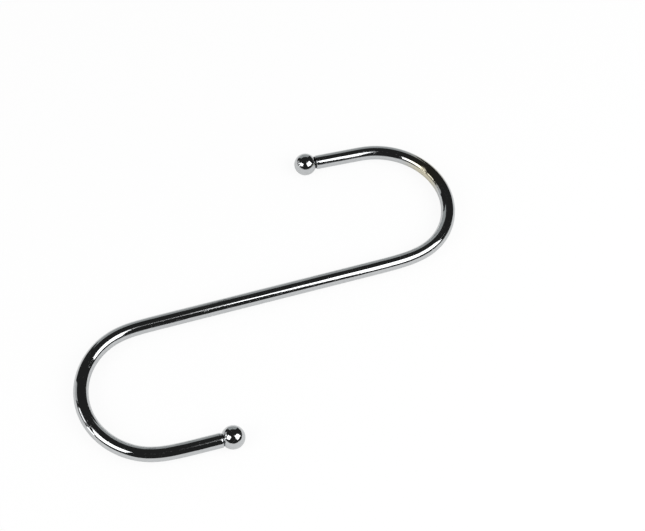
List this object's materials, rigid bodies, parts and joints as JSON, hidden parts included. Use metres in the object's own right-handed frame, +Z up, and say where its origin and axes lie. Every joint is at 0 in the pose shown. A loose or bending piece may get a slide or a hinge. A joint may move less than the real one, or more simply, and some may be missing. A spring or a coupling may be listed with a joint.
{
  "type": "s hook",
  "caption": "Chromed round-wire S hook with a small ball welded on each end, to hang things from a rail or bar.",
  "frame": {"origin": "under the middle of the shank, on the surface that the two balls rest on", "axes": "+X along the shank towards the upper hook's bend, +Y to the side that the upper hook opens over, +Z up, square to the plane of the hook as it lies on its side"},
  "size_m": [0.12, 0.0864, 0.0064],
  "materials": {
    "chromed_wire": "bright chrome plate over drawn steel wire, with faint draw lines",
    "chromed_ball": "bright chrome plate over a polished steel ball"
  },
  "bodies": {
    "root": {"hook_wire": "chromed_wire", "upper_ball": "chromed_ball", "lower_ball": "chromed_ball"}
  },
  "joints": []
}
